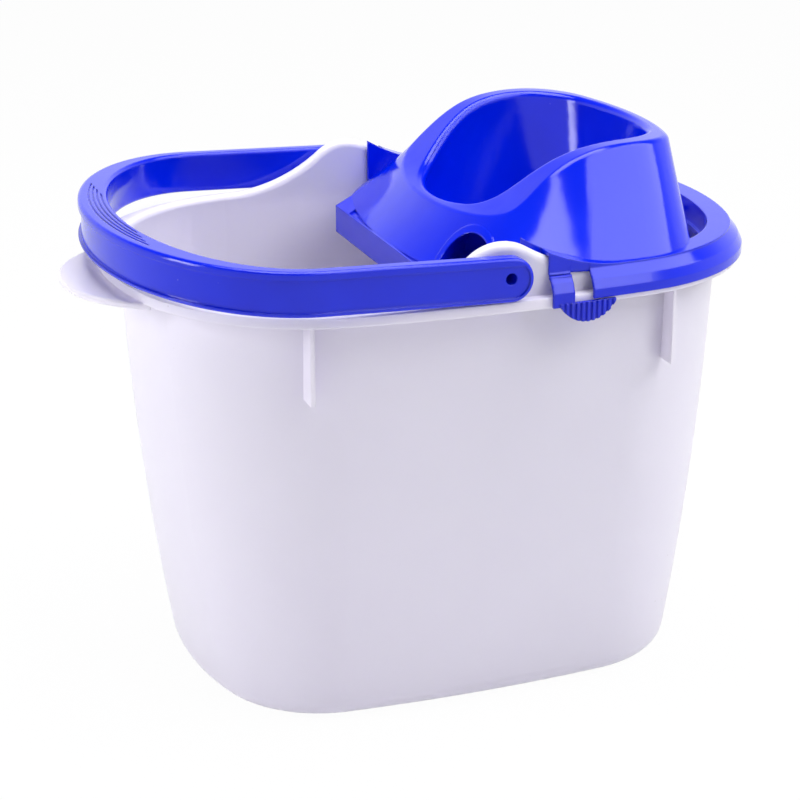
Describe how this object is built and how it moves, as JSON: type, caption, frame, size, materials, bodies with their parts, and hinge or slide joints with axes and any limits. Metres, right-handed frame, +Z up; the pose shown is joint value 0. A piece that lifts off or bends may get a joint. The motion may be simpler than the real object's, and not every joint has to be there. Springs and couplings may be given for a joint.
{
  "type": "mop bucket with wringer",
  "caption": "Oval plastic mop bucket with a folding carrying handle and a clip-on funnel wringer with strainer.",
  "frame": {"origin": "middle of the bucket's base, on the floor", "axes": "+Z up, +X along the bucket towards the wringer, +Y across the bucket"},
  "size_m": [0.4298, 0.31, 0.339],
  "materials": {
    "white_plastic": "satin moulded polypropylene",
    "blue_plastic": "glossy moulded polypropylene"
  },
  "bodies": {
    "bucket": {"bucket": "white_plastic"},
    "handle": {"handle": "blue_plastic"},
    "wringer": {"wringer": "blue_plastic", "strainer": "blue_plastic"},
    "latch_near": {"latch_near": "blue_plastic"},
    "latch_far": {"latch_far": "blue_plastic"}
  },
  "joints": [
    {"name": "handle_swing", "type": "hinge", "parent": "bucket", "child": "handle", "pos_m": [0, 0, 0.2826], "axis": [0, 1, 0], "range_deg": [0, 88]},
    {"name": "wringer_lift", "type": "slide", "parent": "bucket", "child": "wringer", "axis": [0, 0, 1], "range_m": [0, 0.15]},
    {"name": "latch_near", "type": "hinge", "parent": "wringer", "child": "latch_near", "pos_m": [0.033, -0.1473, 0.2786], "axis": [-1, 0, 0], "range_deg": [0, 10]},
    {"name": "latch_far", "type": "hinge", "parent": "wringer", "child": "latch_far", "pos_m": [0.033, 0.1473, 0.2786], "axis": [1, 0, 0], "range_deg": [0, 10]}
  ]
}
